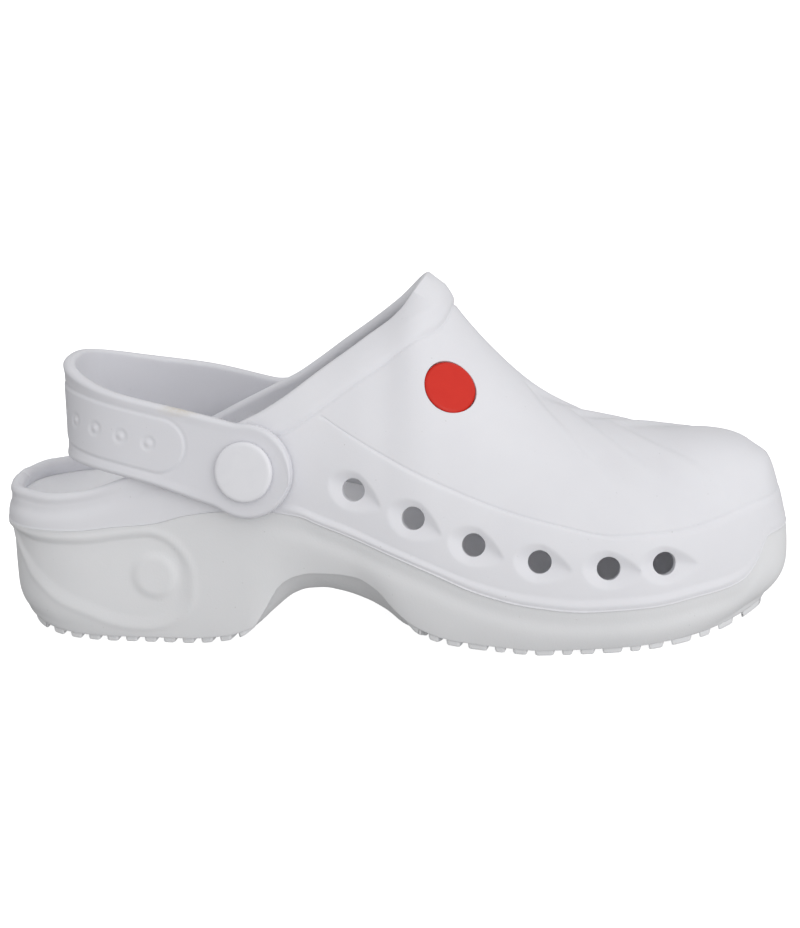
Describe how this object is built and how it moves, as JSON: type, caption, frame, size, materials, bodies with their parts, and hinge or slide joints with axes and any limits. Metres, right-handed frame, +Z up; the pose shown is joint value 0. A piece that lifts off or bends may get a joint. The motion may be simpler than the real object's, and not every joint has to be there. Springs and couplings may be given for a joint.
{
  "type": "chef clog",
  "caption": "Right-foot moulded foam work clog: hollow closed-toe upper, thick lugged sole with arch, round side vents and a swinging heel strap on round rivets.",
  "frame": {"origin": "centre of the bounding box on the ground plane under the tread", "axes": "+X from heel to toe, +Y towards the medial side, +Z up; the tread rests on z = 0"},
  "size_m": [0.2754, 0.1069, 0.123],
  "materials": {
    "upper_foam": "matte moulded EVA foam",
    "sole_foam": "matte moulded EVA foam",
    "footbed_foam": "matte soft foam",
    "strap_foam": "matte moulded EVA foam",
    "rivet_plastic": "satin hard plastic",
    "button_plastic": "satin soft plastic"
  },
  "bodies": {
    "root": {"upper": "upper_foam", "sole": "sole_foam", "insole": "footbed_foam", "heel_strap": "strap_foam", "rivet_lateral": "rivet_plastic", "rivet_medial": "rivet_plastic", "rivet_back_lateral": "rivet_plastic", "rivet_back_medial": "rivet_plastic", "button": "button_plastic"}
  },
  "joints": []
}
